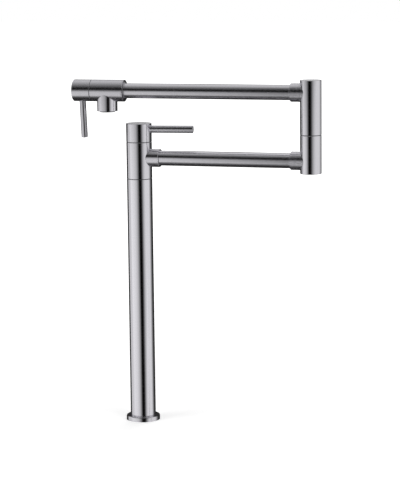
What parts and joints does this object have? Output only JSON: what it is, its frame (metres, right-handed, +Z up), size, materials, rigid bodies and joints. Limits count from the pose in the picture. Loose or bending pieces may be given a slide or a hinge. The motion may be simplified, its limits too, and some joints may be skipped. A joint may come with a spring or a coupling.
{
  "type": "pot filler",
  "caption": "Deck-mounted pot filler: a round column carries a pair of folding swivel arms, with lever valves at the top of the column and at the end of the spout.",
  "frame": {"origin": "centre of the column's base on the worktop, midway between the stud holes", "axes": "+Z up along the column, +X along the lower arm at rest, +Y to the back"},
  "size_m": [0.3721, 0.0498, 0.5091],
  "materials": {
    "brushed_steel": "brushed stainless steel, lightly satin",
    "spring_steel": "plain spring steel",
    "brass": "machined",
    "rubber": "matt black",
    "ceramic": "lapped white ceramic",
    "glide_plastic": "dark acetal",
    "aerator_plastic": "moulded"
  },
  "bodies": {
    "column": {"deck_gasket": "rubber", "deck_flange": "brushed_steel", "flange_grip_ring": "rubber", "base_plug": "brass", "column_tube": "brushed_steel", "supply_pipe": "brass", "pipe_seals": "rubber", "column_stem": "brass", "lower_glide_ring": "glide_plastic", "swivel_seals": "rubber", "swivel_circlip": "spring_steel", "column_cartridge_seal": "rubber", "column_fixed_disc": "ceramic", "column_cartridge_body": "brass", "column_cartridge_nut": "brass"},
    "column_handle": {"column_moving_disc": "ceramic", "column_spindle": "brass", "column_spindle_seals": "rubber", "column_handle_cap": "brushed_steel", "column_lever": "brushed_steel", "column_handle_screw": "spring_steel"},
    "lower_arm": {"swivel_sleeve": "brushed_steel", "upper_glide_ring": "glide_plastic", "swivel_arm_collar": "brushed_steel", "lower_arm_tube": "brushed_steel", "elbow_lower_collar": "brushed_steel", "elbow_lower_body": "brushed_steel", "elbow_spindle": "brass", "elbow_seals": "rubber", "elbow_glide_washer": "glide_plastic", "elbow_circlip": "spring_steel"},
    "upper_arm": {"elbow_upper_body": "brushed_steel", "elbow_thrust_washer": "glide_plastic", "elbow_top_plug": "brushed_steel", "elbow_plug_seal": "rubber", "elbow_upper_collar": "brushed_steel", "upper_arm_tube": "brushed_steel", "spout_inlet_bush": "brushed_steel", "spout_inlet_seal": "rubber", "spout_body": "brushed_steel", "outlet_stub": "brushed_steel", "spout_cartridge_seal": "rubber", "spout_fixed_disc": "ceramic", "spout_cartridge_body": "brass", "spout_cartridge_nut": "brass", "aerator_gasket": "rubber", "aerator_shell": "brushed_steel", "aerator_insert": "aerator_plastic", "aerator_screen": "spring_steel"},
    "spout_handle": {"spout_moving_disc": "ceramic", "spout_spindle": "brass", "spout_spindle_seals": "rubber", "spout_handle_cap": "brushed_steel", "spout_lever": "brushed_steel", "spout_handle_screw": "spring_steel"}
  },
  "joints": [
    {"name": "column_swivel", "type": "hinge", "parent": "column", "child": "lower_arm", "pos_m": [0, 0, 0.393], "axis": [0, 0, 1], "continuous": true},
    {"name": "elbow_swivel", "type": "hinge", "parent": "lower_arm", "child": "upper_arm", "pos_m": [0.258, 0, 0.4305], "axis": [0, 0, 1], "continuous": true},
    {"name": "column_valve", "type": "hinge", "parent": "column", "child": "column_handle", "pos_m": [0, 0, 0.4165], "axis": [0, 0, 1], "range_deg": [-90, 0]},
    {"name": "spout_valve", "type": "hinge", "parent": "upper_arm", "child": "spout_handle", "pos_m": [-0.0712, 0, 0.491], "axis": [1, 0, 0], "range_deg": [-90, 0]}
  ]
}
